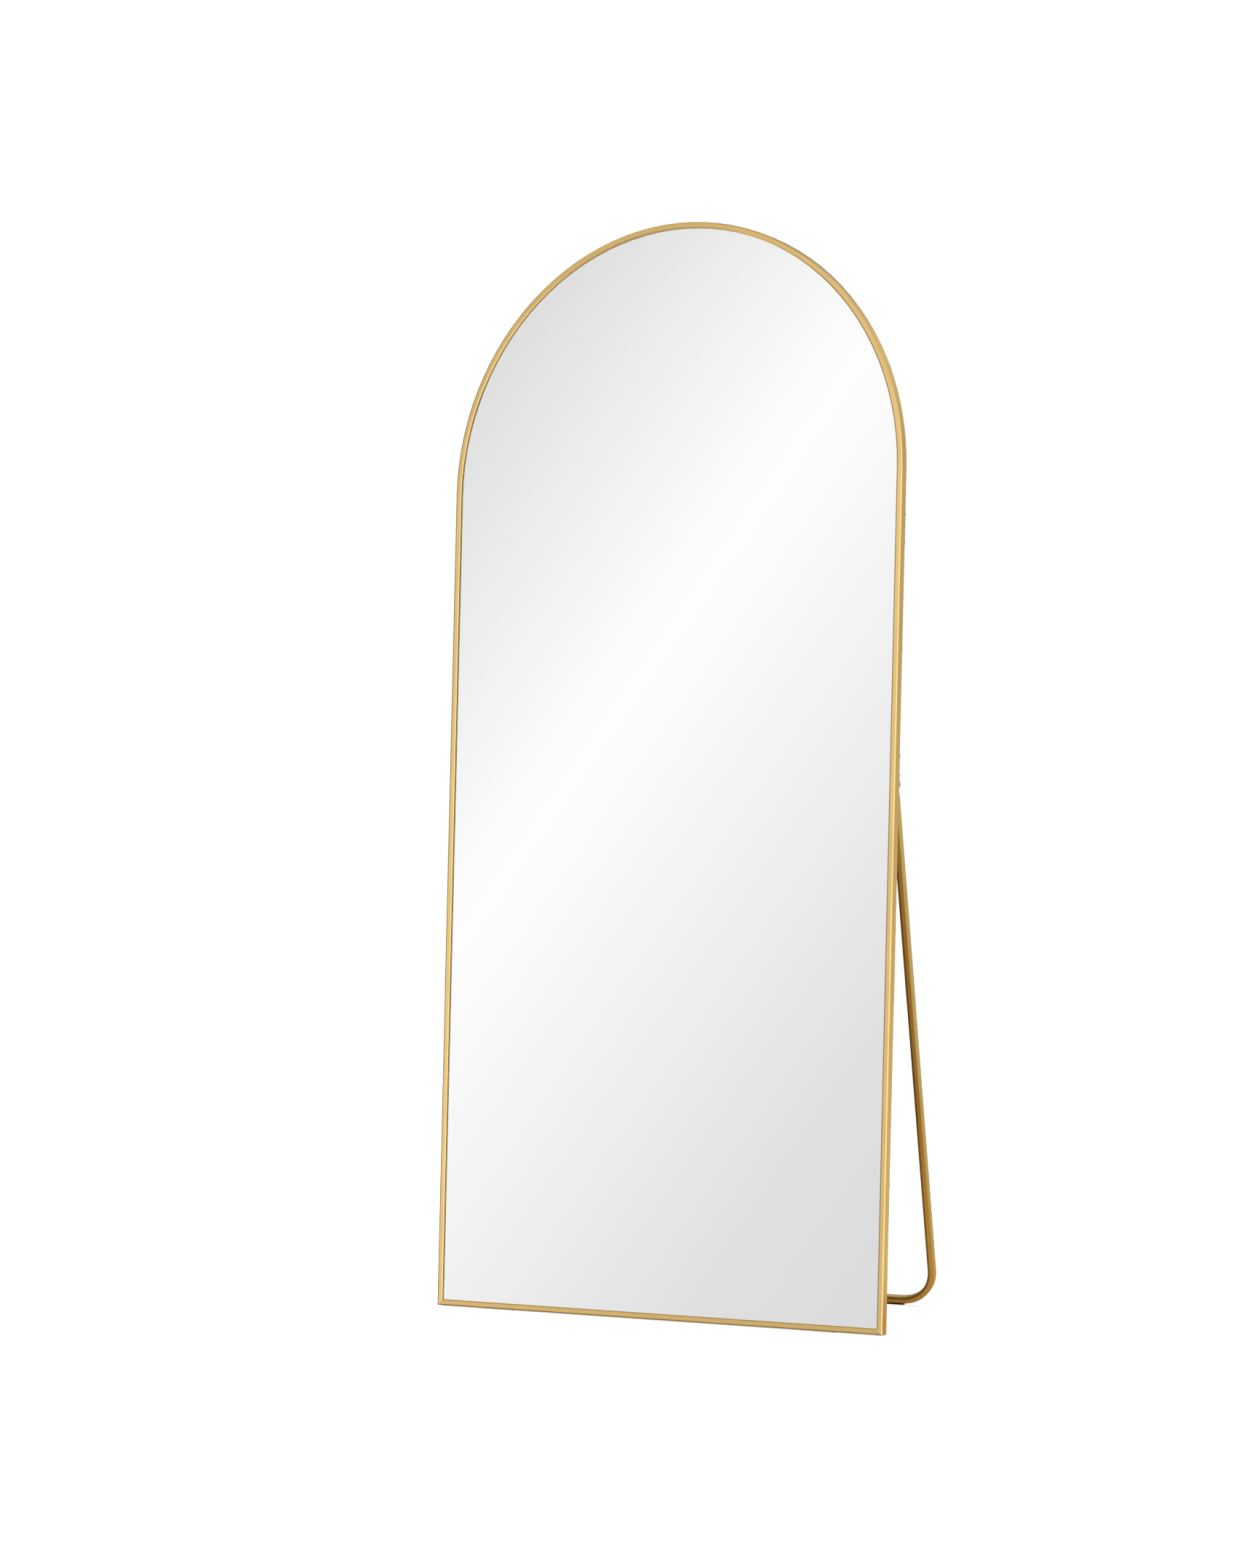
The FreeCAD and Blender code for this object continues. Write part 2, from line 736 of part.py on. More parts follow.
bracket = hinge_bracket()
write("hinge_bracket_right", in_frame(bracket))
write("hinge_bracket_left", in_frame(mirrored(bracket)))
bracket_screws = screw_group(both_sides(bracket_screw_heights()), bracket_thickness)
write("hinge_bracket_screws", in_frame(bracket_screws))
bolt = pivot_bolt()
write("pivot_bolt_right", in_frame(bolt))
write("pivot_bolt_left", in_frame(mirrored(bolt)))
nut = pivot_nut()
write("pivot_nut_right", in_frame(nut))
write("pivot_nut_left", in_frame(mirrored(nut)))
washers = [pivot_washer(ear_inner_x - washer_thickness), pivot_washer(nut_x)]
washers = washers + [mirrored(washer) for washer in washers]
write("pivot_washers", in_frame(Part.makeCompound(washers)))

write("stand_tube", in_stand(stand_tube()))
bush = pivot_bush()
write("pivot_bushes", in_stand(Part.makeCompound([bush, mirrored(bush)])))
plug = end_plug()
write("tube_end_plugs", in_stand(Part.makeCompound([plug, mirrored(plug)])))

foot = frame_foot()
write("frame_feet", Part.makeCompound([foot, mirrored(foot)]))
foot = stand_foot()
write("stand_feet", Part.makeCompound([foot, mirrored(foot)]))

plate = hanger_plate()
write("hanger_plate_right", in_frame(plate))
write("hanger_plate_left", in_frame(mirrored(plate)))
hanger_screws = screw_group(both_sides(hanger_screw_heights()), hanger_thickness)
write("hanger_screws", in_frame(hanger_screws))

print("pivot axis through", V(0, pivot_y - footprint / 2, pivot_z))
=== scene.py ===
"""Looks of an arched, gold-framed floor mirror on a folding stand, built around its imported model.

Metres. +Z is up, +X to the right seen from the front, and the glass looks towards -Y.
"""

import math

import bpy
from mathutils import Matrix, Vector


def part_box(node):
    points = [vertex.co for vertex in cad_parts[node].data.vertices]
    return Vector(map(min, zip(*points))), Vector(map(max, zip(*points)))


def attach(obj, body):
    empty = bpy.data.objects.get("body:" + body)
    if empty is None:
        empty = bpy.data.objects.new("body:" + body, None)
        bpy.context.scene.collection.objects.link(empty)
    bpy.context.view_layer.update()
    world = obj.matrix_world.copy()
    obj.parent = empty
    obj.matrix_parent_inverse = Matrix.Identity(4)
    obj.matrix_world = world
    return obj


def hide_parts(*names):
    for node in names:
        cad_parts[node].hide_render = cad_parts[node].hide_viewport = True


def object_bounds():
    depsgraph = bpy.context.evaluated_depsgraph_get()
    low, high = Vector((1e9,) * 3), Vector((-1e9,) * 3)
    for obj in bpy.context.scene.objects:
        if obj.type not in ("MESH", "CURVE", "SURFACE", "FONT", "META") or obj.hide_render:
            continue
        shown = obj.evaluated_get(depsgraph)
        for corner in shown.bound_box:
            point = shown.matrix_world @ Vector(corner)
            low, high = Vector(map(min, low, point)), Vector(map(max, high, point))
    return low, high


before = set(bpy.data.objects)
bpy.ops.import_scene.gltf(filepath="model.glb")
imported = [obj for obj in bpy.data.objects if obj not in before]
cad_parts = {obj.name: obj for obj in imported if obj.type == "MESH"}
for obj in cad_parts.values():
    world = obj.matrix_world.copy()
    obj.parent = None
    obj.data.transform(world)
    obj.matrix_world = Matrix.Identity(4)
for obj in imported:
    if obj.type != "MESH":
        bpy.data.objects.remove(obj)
cad_low, cad_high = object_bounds()


# ---------------------------------------------------------------- gold frame
# One length of slim aluminium extrusion bent over the top, and a straight rail mitred to it
# at the floor. Satin gold anodised: fine drawing lines run along it, and the saw cuts of the
# mitres show bare metal. A painted highlight runs along its front outer edge, and where it
# runs level its gold is painted darker, a painted shade.
lean = math.radians(2.6)
half_width = 0.425
spring_height = 1.375
face_width = 0.010
frame_depth = 0.015
gold_anodised_colour = (0.89, 0.618, 0.244, 1)
gold_level_painted_shade_colour = (0.79, 0.530, 0.195, 1)       # painted shade: the gold is darker where the length runs level
# Colour of the painted highlight along the front outer edge.
gold_painted_highlight_colour = (0.95, 0.80, 0.52, 1)
bare_aluminium_colour = (0.86, 0.84, 0.80, 1)
painted_highlight_width = 0.0011          # of the painted highlight along the front outer edge
mitre_line = 0.0004            # half the width of the bare saw cut
mitre_fade = 0.0009            # where its soft edge ends
lines_per_metre = 4200.0
rail_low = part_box("bottom_rail")[0]
frame_corner = Vector((0, rail_low.y, rail_low.z + frame_depth * math.sin(lean)))


def node(tree, kind, inputs=(), **settings):
    """A shader node: settings first, then its inputs by place or name, as values or links."""
    made = tree.nodes.new(kind)
    for name, value in settings.items():
        setattr(made, name, value)
    pairs = inputs.items() if isinstance(inputs, dict) else enumerate(inputs)
    for place, value in pairs:
        if isinstance(value, bpy.types.NodeSocket):
            tree.links.new(value, made.inputs[place])
        else:
            made.inputs[place].default_value = value
    return made


def maths(tree, operation, *inputs):
    return node(tree, "ShaderNodeMath", inputs, operation=operation).outputs[0]


def vector_maths(tree, operation, *inputs):
    made = node(tree, "ShaderNodeVectorMath", inputs, operation=operation)
    return made.outputs["Value" if operation in ("DOT_PRODUCT", "LENGTH") else "Vector"]


def slant(tree, first, second):
    """Length of the slanting side of a right-angled triangle."""
    squares = (maths(tree, "MULTIPLY", first, first), maths(tree, "MULTIPLY", second, second))
    return maths(tree, "SQRT", maths(tree, "ADD", *squares))


def choose(tree, switch, when_off, when_on):
    made = node(tree, "ShaderNodeMix", {0: switch, 2: when_off, 3: when_on}, data_type="FLOAT")
    return made.outputs[0]


def remap(tree, value, low, high, to_low=0.0, to_high=1.0):
    """A smooth step of value from low..high to to_low..to_high."""
    made = node(tree, "ShaderNodeMapRange", [value, low, high, to_low, to_high],
                interpolation_type="SMOOTHSTEP")
    return made.outputs[0]


def blend_colour(tree, share, first, second):
    made = node(tree, "ShaderNodeMix", {0: share, 6: first, 7: second}, data_type="RGBA")
    return made.outputs[2]


def noise(tree, place, scale, detail, roughness):
    made = node(tree, "ShaderNodeTexNoise",
                {"Vector": place, "Scale": scale, "Detail": detail, "Roughness": roughness})
    return made.outputs["Fac"]


def vector(tree, x, y, z):
    return node(tree, "ShaderNodeCombineXYZ", [x, y, z]).outputs[0]


def split(tree, place):
    """X, Y and Z of a vector."""
    return node(tree, "ShaderNodeSeparateXYZ", [place]).outputs


def new_group(name, inputs, outputs):
    """An empty shader group; inputs and outputs are (name, kind, value)."""
    tree = bpy.data.node_groups.new(name, "ShaderNodeTree")
    for direction, sockets in (("INPUT", inputs), ("OUTPUT", outputs)):
        for title, kind, value in sockets:
            socket = tree.interface.new_socket(title, in_out=direction,
                                               socket_type="NodeSocket" + kind)
            if value is not None:
                socket.default_value = value
    entry = tree.nodes.new("NodeGroupInput")
    result = tree.nodes.new("NodeGroupOutput")
    return tree, entry.outputs, result.inputs


def use_group(tree, group, **inputs):
    made = tree.nodes.new("ShaderNodeGroup")
    made.node_tree = group
    for name, value in inputs.items():
        socket = made.inputs[name]
        if isinstance(value, bpy.types.NodeSocket):
            tree.links.new(value, socket)
        else:
            socket.default_value = value
    return made.outputs


def new_material(name):
    made = bpy.data.materials.new(name)
    made.use_nodes = True
    tree = made.node_tree
    tree.nodes.clear()
    shader = tree.nodes.new("ShaderNodeBsdfPrincipled")
    output = tree.nodes.new("ShaderNodeOutputMaterial")
    tree.links.new(shader.outputs[0], output.inputs[0])
    return made, tree, shader


def bump(tree, height, distance, strength):
    made = node(tree, "ShaderNodeBump",
                {"Strength": strength, "Distance": distance, "Height": height})
    return made.outputs[0]


def object_place(tree):
    return tree.nodes.new("ShaderNodeTexCoord").outputs["Object"]


def dress(names, material):
    """Give CAD nodes a material, in their objects' own slots."""
    for name in names:
        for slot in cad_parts[name].material_slots:
            slot.material = material


def extrusion_place_group():
    """Where a point lies on the frame: along it, in from its outer side and back from its face.

    Level is 1 where the length runs level, and Mitre is 1 on a mitre's saw cut.
    """
    tree, _, result = new_group("extrusion_place", [], [
        ("Along", "Float", None), ("Inwards", "Float", None), ("Back", "Float", None),
        ("Level", "Float", None), ("Mitre", "Float", None)])
    upright = node(tree, "ShaderNodeVectorRotate",
                   {"Vector": object_place(tree), "Center": frame_corner, "Angle": lean},
                   rotation_type="X_AXIS").outputs[0]
    x, back, height = split(tree, vector_maths(tree, "SUBTRACT", upright, frame_corner))
    side = maths(tree, "ABSOLUTE", x)
    above = maths(tree, "MAXIMUM", maths(tree, "SUBTRACT", height, spring_height), 0.0)
    reach = slant(tree, side, above)
    from_side = maths(tree, "SUBTRACT", half_width, reach)
    turn = maths(tree, "MULTIPLY", maths(tree, "ARCTAN2", above, side), half_width)
    up = maths(tree, "ADD", maths(tree, "MINIMUM", height, spring_height), turn)
    on_rail = maths(tree, "LESS_THAN", height, from_side)
    tree.links.new(choose(tree, on_rail, up, x), result["Along"])
    sine = maths(tree, "DIVIDE", above, reach)
    tree.links.new(maths(tree, "MAXIMUM", sine, on_rail), result["Level"])
    tree.links.new(maths(tree, "MINIMUM", from_side, height), result["Inwards"])
    tree.links.new(back, result["Back"])
    low = maths(tree, "LESS_THAN", height, face_width * 1.5)
    apart = maths(tree, "ABSOLUTE", maths(tree, "SUBTRACT", height, from_side))
    near = remap(tree, apart, mitre_line, mitre_fade, 1.0, 0.0)
    tree.links.new(maths(tree, "MULTIPLY", near, low), result["Mitre"])
    return tree


def painted_edge_highlight_group():
    """Mask of a painted highlight along a sharp edge, broken up by noise."""
    tree, given, result = new_group("painted_edge_highlight", [
        ("Distance", "Float", 0.0), ("Width", "Float", 0.001), ("Place", "Vector", None)],
        [("Mask", "Float", None)])
    patchy = noise(tree, given["Place"], scale=90.0, detail=4.0, roughness=0.6)
    width = maths(tree, "MULTIPLY", given["Width"], maths(tree, "ADD", patchy, 0.35))
    share = maths(tree, "DIVIDE", given["Distance"], width)
    tree.links.new(remap(tree, share, 0.35, 1.1, 1.0, 0.0), result["Mask"])
    return tree


def drawn_lines_group():
    """Fine lines that the drawing die leaves along a metal section."""
    tree, given, result = new_group("drawn_lines", [
        ("Along", "Float", 0.0), ("Across", "Float", 0.0), ("Fineness", "Float", 1.0)],
        [("Lines", "Float", None), ("Cloud", "Float", None)])
    across = maths(tree, "MULTIPLY", given["Across"], given["Fineness"])
    fine = vector(tree, maths(tree, "MULTIPLY", given["Along"], 6.0),
                  maths(tree, "MULTIPLY", across, lines_per_metre), 0.0)
    broad = vector(tree, given["Along"], maths(tree, "MULTIPLY", given["Across"], 8.0), 0.0)
    tree.links.new(noise(tree, fine, scale=1.0, detail=2.0, roughness=0.6), result["Lines"])
    tree.links.new(noise(tree, broad, scale=14.0, detail=3.0, roughness=0.55), result["Cloud"])
    return tree


extrusion_place = extrusion_place_group()
painted_edge_highlight = painted_edge_highlight_group()
drawn_lines = drawn_lines_group()


def gold_anodised():
    made, tree, shader = new_material("gold_anodised")
    place = use_group(tree, extrusion_place)
    across = maths(tree, "ADD", place["Inwards"], place["Back"])
    marks = use_group(tree, drawn_lines, Along=place["Along"], Across=across, Fineness=1.0)
    highlight_mask = use_group(tree, painted_edge_highlight, Distance=across, Width=painted_highlight_width,
                     Place=object_place(tree))["Mask"]
    tone = remap(tree, marks["Cloud"], 0.3, 0.7, -0.035, 0.035)
    line_tone = remap(tree, marks["Lines"], 0.3, 0.7, 0.0, 0.05)
    value = maths(tree, "ADD", maths(tree, "ADD", tone, line_tone), 0.98)
    # Painted shade: the gold is darker where the length runs level.
    gold = blend_colour(tree, place["Level"], gold_anodised_colour, gold_level_painted_shade_colour)
    lightened = node(tree, "ShaderNodeHueSaturation", {"Value": value, "Color": gold}).outputs[0]
    # Painted highlight: paler gold along the frame's front outer edge.
    highlighted = blend_colour(tree, maths(tree, "MULTIPLY", highlight_mask, 0.55), lightened, gold_painted_highlight_colour)
    bare = maths(tree, "MULTIPLY", place["Mitre"], 0.8)
    sawn = blend_colour(tree, bare, highlighted, bare_aluminium_colour)
    tree.links.new(sawn, shader.inputs["Base Color"])
    tree.links.new(remap(tree, marks["Lines"], 0.25, 0.75, 0.12, 0.19), shader.inputs["Roughness"])
    tree.links.new(bump(tree, marks["Lines"], distance=0.000002, strength=0.5), shader.inputs["Normal"])
    shader.inputs["Metallic"].default_value = 1.0
    shader.inputs["Coat Weight"].default_value = 0.1
    shader.inputs["Coat Roughness"].default_value = 0.15
    return made


dress(["frame_arch", "bottom_rail"], gold_anodised())


# ---------------------------------------------------------------- corner keys
# L-shaped keys sawn from a raw aluminium extrusion and pressed into the frame's hollow at
# both lower corners. They hold the mitres shut and are hidden in the finished mirror.
key_metal_colour = (0.77, 0.77, 0.76, 1)


def key_metal():
    made, tree, shader = new_material("key_metal")
    x, y, z = split(tree, object_place(tree))
    marks = use_group(tree, drawn_lines, Along=y, Across=maths(tree, "ADD", x, z), Fineness=0.6)
    shade = node(tree, "ShaderNodeHueSaturation",
                 {"Value": remap(tree, marks["Lines"], 0.3, 0.7, 0.9, 1.05),
                  "Color": key_metal_colour}).outputs[0]
    tree.links.new(shade, shader.inputs["Base Color"])
    tree.links.new(remap(tree, marks["Cloud"], 0.3, 0.7, 0.32, 0.46), shader.inputs["Roughness"])
    shader.inputs["Metallic"].default_value = 1.0
    return made


dress(["corner_key_left", "corner_key_right"], key_metal())


# ---------------------------------------------------------------- glazing tape
# Thin black closed-cell foam tape stuck behind the front lip, so that the glass doesn't lie
# on metal. It is the dark line that runs round the glass.
tape_colour = (0.012, 0.012, 0.013, 1)


def foam_cells_group():
    """Height of a foam's skin over its tiny closed cells. Cells is their number to a metre."""
    tree, given, result = new_group("foam_cells", [("Cells", "Float", 900.0)],
                                    [("Height", "Float", None)])
    cells = node(tree, "ShaderNodeTexVoronoi",
                 {"Vector": object_place(tree), "Scale": given["Cells"]})
    tree.links.new(remap(tree, cells.outputs["Distance"], 0.0, 0.7), result["Height"])
    return tree


foam_cells = foam_cells_group()


def foam_material(name, colour, cells):
    made, tree, shader = new_material(name)
    height = use_group(tree, foam_cells, Cells=cells)["Height"]
    lighter = tuple(min(1.0, channel * 1.35 + 0.004) for channel in colour[:3]) + (1,)
    tree.links.new(blend_colour(tree, height, colour, lighter), shader.inputs["Base Color"])
    tree.links.new(remap(tree, height, 0.0, 1.0, 0.75, 0.95), shader.inputs["Roughness"])
    tree.links.new(bump(tree, height, distance=0.0001, strength=0.5), shader.inputs["Normal"])
    return made


dress(["glazing_tape"], foam_material("glazing_tape_foam", tape_colour, cells=1400.0))


# ---------------------------------------------------------------- mirror glass
# A 4 mm sheet of silvered float glass with a ground edge. The silvering is clear and
# neutral, with the faintest haze where it has been wiped.
silvering_colour = (0.965, 0.968, 0.967, 1)


def silvered_glass():
    made, tree, shader = new_material("silvered_glass")
    smear = noise(tree, object_place(tree), scale=2.3, detail=4.0, roughness=0.6)
    tree.links.new(remap(tree, smear, 0.5, 0.85, 0.0, 0.02), shader.inputs["Roughness"])
    shader.inputs["Base Color"].default_value = silvering_colour
    shader.inputs["Metallic"].default_value = 1.0
    return made


dress(["mirror_glass"], silvered_glass())


# ---------------------------------------------------------------- safety film
# A woven-look plastic film glued to the back of the silvered glass. It holds the pieces
# together if the glass breaks.
film_colour = (0.62, 0.66, 0.70, 1)
weave_rate = 2600.0            # radians to a metre, which makes 2.4 mm to a wave


def safety_film():
    made, tree, shader = new_material("safety_film")
    x, _, z = split(tree, object_place(tree))
    warp = maths(tree, "SINE", maths(tree, "MULTIPLY", x, weave_rate))
    weft = maths(tree, "SINE", maths(tree, "MULTIPLY", z, weave_rate))
    weave = maths(tree, "MULTIPLY", warp, weft)
    pale = tuple(min(1.0, channel * 1.15) for channel in film_colour[:3]) + (1,)
    tree.links.new(blend_colour(tree, remap(tree, weave, -1.0, 1.0), film_colour, pale),
                   shader.inputs["Base Color"])
    tree.links.new(bump(tree, weave, distance=0.00003, strength=0.5), shader.inputs["Normal"])
    shader.inputs["Roughness"].default_value = 0.35
    return made


dress(["safety_film"], safety_film())


# ---------------------------------------------------------------- foam sheet
# A 2 mm sheet of white polyethylene foam between the glass and the board. It takes up the
# slack, so the clips press the glass evenly against the lip.
foam_sheet_colour = (0.82, 0.83, 0.84, 1)
dress(["foam_sheet"], foam_material("foam_sheet_foam", foam_sheet_colour, cells=420.0))


# ---------------------------------------------------------------- backing board
# A 3 mm hardboard cut to the arch and held in the frame by the clips. Its bare wood fibres
# show as a fine mottle of browns, and handling has left pale scuffs.
board_colour = (0.41, 0.258, 0.108, 1)
board_scuff_colour = (0.56, 0.40, 0.225, 1)
board_fleck_colour = (0.20, 0.115, 0.045, 1)      # darker bark in the pressed fibres
board_scuff_scale = (9.0, 9.0, 34.0)              # to a metre: scuffs are longer across


def backing_board():
    made, tree, shader = new_material("backing_board")
    place = object_place(tree)
    fibres = noise(tree, place, scale=420.0, detail=6.0, roughness=0.75)
    flecks = remap(tree, noise(tree, place, scale=900.0, detail=2.0, roughness=0.6), 0.60, 0.72)
    mottle = noise(tree, place, scale=9.0, detail=4.0, roughness=0.6)
    stretched = vector_maths(tree, "MULTIPLY", place, board_scuff_scale)
    scuffs = remap(tree, noise(tree, stretched, scale=1.0, detail=6.0, roughness=0.75), 0.60, 0.78)
    share = maths(tree, "ADD", remap(tree, fibres, 0.34, 0.66, 0.0, 0.30),
                  remap(tree, mottle, 0.3, 0.7, -0.03, 0.07))
    shade = blend_colour(tree, share, board_colour, board_scuff_colour)
    flecked = blend_colour(tree, maths(tree, "MULTIPLY", flecks, 0.45), shade, board_fleck_colour)
    scuffed = blend_colour(tree, maths(tree, "MULTIPLY", scuffs, 0.30), flecked, board_scuff_colour)
    tree.links.new(scuffed, shader.inputs["Base Color"])
    tree.links.new(remap(tree, mottle, 0.3, 0.7, 0.62, 0.80), shader.inputs["Roughness"])
    tree.links.new(bump(tree, fibres, distance=0.0002, strength=0.35), shader.inputs["Normal"])
    return made


dress(["backing_board"], backing_board())


# ---------------------------------------------------------------- board clips
# Twelve stepped clips of blued spring steel. Each is screwed to the back of the frame, and
# its foot presses the board forwards.
spring_steel_colour = (0.34, 0.35, 0.37, 1)


def metal_material(name, colour, roughness, grain, stain):
    """Pressed or turned metal: a fine grain that runs no way, and faint stains."""
    made, tree, shader = new_material(name)
    place = object_place(tree)
    fine = noise(tree, place, scale=grain, detail=4.0, roughness=0.65)
    broad = noise(tree, place, scale=55.0, detail=3.0, roughness=0.5)
    darker = tuple(channel * (1.0 - stain) for channel in colour[:3]) + (1,)
    tree.links.new(blend_colour(tree, remap(tree, broad, 0.35, 0.7), colour, darker),
                   shader.inputs["Base Color"])
    tree.links.new(remap(tree, fine, 0.3, 0.7, roughness - 0.07, roughness + 0.08),
                   shader.inputs["Roughness"])
    tree.links.new(bump(tree, fine, distance=0.00004, strength=0.4), shader.inputs["Normal"])
    shader.inputs["Metallic"].default_value = 1.0
    return made


dress(["board_clips"],
      metal_material("spring_steel", spring_steel_colour, roughness=0.30, grain=700.0, stain=0.25))


# ---------------------------------------------------------------- screws
# Zinc-plated self-tapping screws with pan heads hold the clips, the hinge brackets and the
# wall plates to the frame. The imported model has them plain, so here each one is made again in
# its place, with its crown, cross recess and thread.
zinc_colour = (0.66, 0.67, 0.66, 1)
screw_head_radius = 0.0027
screw_head_height = 0.0017
screw_head_dome = 0.0004       # crown above the shoulder
screw_shoulder = 0.0002
crown_rings = 9
head_steps = 32
cross_half_width = 0.00036
cross_reach = 0.0015
cross_depth = 0.0010
cross_run_out = 3 * cross_reach           # radius where its sloping floor would come up
thread_radius = 0.00145
thread_root = 0.00112
thread_pitch = 0.00106
thread_steps = 12
rows_per_turn = 4
turn_between_screws = 2.4                 # radians, so that no two crosses stand alike
same_screw_reach = 3 * screw_head_radius  # corners nearer than this are of one screw
sharp_edge_angle = math.radians(35)


def screws_in(name):
    """Middle line (x, height) and both ends (back) of each screw of a CAD node."""
    found = []
    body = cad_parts[name]
    for vertex in body.data.vertices:
        point = Matrix.Rotation(lean, 3, "X") @ (body.matrix_world @ vertex.co - frame_corner)
        for one in found:
            if max(abs(one[0].x - point.x), abs(one[0].z - point.z)) < same_screw_reach:
                one.append(point)
                break
        else:
            found.append([point])
    ends = []
    for one in found:
        low = [min(point[i] for point in one) for i in range(3)]
        high = [max(point[i] for point in one) for i in range(3)]
        ends.append(((low[0] + high[0]) / 2, (low[2] + high[2]) / 2, low[1], high[1]))
    return ends


def head_rings():
    """Rings of the head from its middle out: radius, and height above the seat."""
    rings = []
    for i in range(1, crown_rings + 1):
        radius = i / crown_rings * (screw_head_radius - screw_shoulder)
        crown = screw_head_height - screw_head_dome * (radius / screw_head_radius) ** 2
        rings.append((radius, crown))
    rings.append((screw_head_radius, rings[-1][1] - screw_shoulder))
    rings.append((screw_head_radius, 0.0))
    rings.append((thread_radius, 0.0))
    return rings


def in_cross(x, z):
    x, z = abs(x), abs(z)
    return min(x, z) < cross_half_width and max(x, z) < cross_reach


def add_tube(faces, first, steps, rows):
    """Join rows of points, one after the other, into a tube of four-cornered faces."""
    for row in range(rows - 1):
        for i in range(steps):
            a, b = first + row * steps + i, first + row * steps + (i + 1) % steps
            faces.append((a, a + steps, b + steps, b))


def screw_points(turn, length):
    """Points of one screw round its own line, and its faces. Its head looks back."""
    points = [(0.0, screw_head_height - cross_depth, 0.0)]
    faces = []
    for radius, rise in head_rings():
        for i in range(head_steps):
            angle = 2 * math.pi * i / head_steps
            x, z = radius * math.cos(angle), radius * math.sin(angle)
            sunk = 0.0
            if in_cross(x, z) and rise > 0:
                sunk = cross_depth * (1 - radius / cross_run_out)
            points.append((x * math.cos(turn) - z * math.sin(turn), rise - sunk,
                           x * math.sin(turn) + z * math.cos(turn)))
    for i in range(head_steps):
        faces.append((0, 1 + i, 1 + (i + 1) % head_steps))
    add_tube(faces, 1, head_steps, len(head_rings()))
    first = len(points)
    rows = int(length / (thread_pitch / rows_per_turn))
    for row in range(rows + 1):
        depth = length * row / rows
        for i in range(thread_steps):
            share = (depth / thread_pitch - i / thread_steps) % 1.0
            radius = thread_root + (thread_radius - thread_root) * (1 - abs(2 * share - 1))
            angle = 2 * math.pi * i / thread_steps
            points.append((radius * math.cos(angle), -depth, radius * math.sin(angle)))
    add_tube(faces, first, thread_steps, rows + 1)
    faces.append(tuple(first + rows * thread_steps + i for i in range(thread_steps)))
    return points, faces


def threaded_screws(name, material):
    """Cross-head screws in the places of a CAD node's plain ones."""
    points, faces = [], []
    for number, (x, height, tip, top) in enumerate(screws_in(name)):
        seat = top - screw_head_height
        own_points, own_faces = screw_points(number * turn_between_screws, seat - tip)
        first = len(points)
        for point in own_points:
            there = Vector((x + point[0], seat + point[1], height + point[2]))
            points.append(Matrix.Rotation(-lean, 3, "X") @ there + frame_corner)
        faces.extend(tuple(first + corner for corner in face) for face in own_faces)
    mesh = bpy.data.meshes.new(name + "_cross_head")
    mesh.from_pydata(points, [], faces)
    mesh.materials.append(material)
    mesh.polygons.foreach_set("use_smooth", [True] * len(mesh.polygons))
    mesh.set_sharp_from_angle(angle=sharp_edge_angle)
    made = bpy.data.objects.new(name + "_cross_head", mesh)
    bpy.context.scene.collection.objects.link(made)
    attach(made, "mirror")
    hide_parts(name)


screw_steel = metal_material("screw_zinc", zinc_colour, roughness=0.26, grain=900.0, stain=0.12)
for screw_group in ("board_clip_screws", "hinge_bracket_screws", "hanger_screws"):
    dress([screw_group], screw_steel)
    threaded_screws(screw_group, screw_steel)


# ---------------------------------------------------------------- hinge brackets
# Pressed steel brackets: base plate on the frame's back, an upright ear beside the leg and a
# tab turned in from it, on which the open leg rests. Satin gold lacquer, a little deeper in
# colour than the frame, with a faint orange peel.
stand_gold_colour = (0.855, 0.592, 0.178, 1)
stand_gold_pale = (0.885, 0.645, 0.228, 1)


def gold_lacquer(name, painted_shade=None, painted_shade_colour=None):
    """Satin gold lacquer on steel. An optional mask maker and its colour add a band of painted shade.
    gathered makes the mask of where it has run thick.
    """
    made, tree, shader = new_material(name)
    place = object_place(tree)
    peel = noise(tree, place, scale=620.0, detail=2.0, roughness=0.45)
    cloud = noise(tree, place, scale=12.0, detail=3.0, roughness=0.5)
    gold = blend_colour(tree, remap(tree, cloud, 0.3, 0.7), stand_gold_colour, stand_gold_pale)
    if painted_shade:
        # Painted shade: a dark band along the tube's inner front corner.
        gold = blend_colour(tree, painted_shade(tree, place), gold, painted_shade_colour)
    tree.links.new(gold, shader.inputs["Base Color"])
    tree.links.new(remap(tree, peel, 0.3, 0.7, 0.27, 0.32), shader.inputs["Roughness"])
    tree.links.new(bump(tree, peel, distance=0.000008, strength=0.25), shader.inputs["Normal"])
    shader.inputs["Metallic"].default_value = 1.0
    shader.inputs["Coat Weight"].default_value = 0.15
    shader.inputs["Coat Roughness"].default_value = 0.15
    return made


dress(["hinge_bracket_left", "hinge_bracket_right"], gold_lacquer("bracket_lacquer"))


# ---------------------------------------------------------------- pivots
# Yellow-zinc button-head bolts run through the ear, the washers and a brass bush in the leg.
# A self-locking nut with a nylon collar closes each of them.
bolt_colour = (0.78, 0.60, 0.30, 1)
brass_colour = (0.72, 0.53, 0.24, 1)
dress(["pivot_bolt_left", "pivot_bolt_right"],
      metal_material("bolt_steel", bolt_colour, roughness=0.32, grain=800.0, stain=0.2))
dress(["pivot_nut_left", "pivot_nut_right"],
      metal_material("nut_zinc", zinc_colour, roughness=0.28, grain=900.0, stain=0.12))
dress(["pivot_bushes"],
      metal_material("bush_brass", brass_colour, roughness=0.28, grain=900.0, stain=0.15))


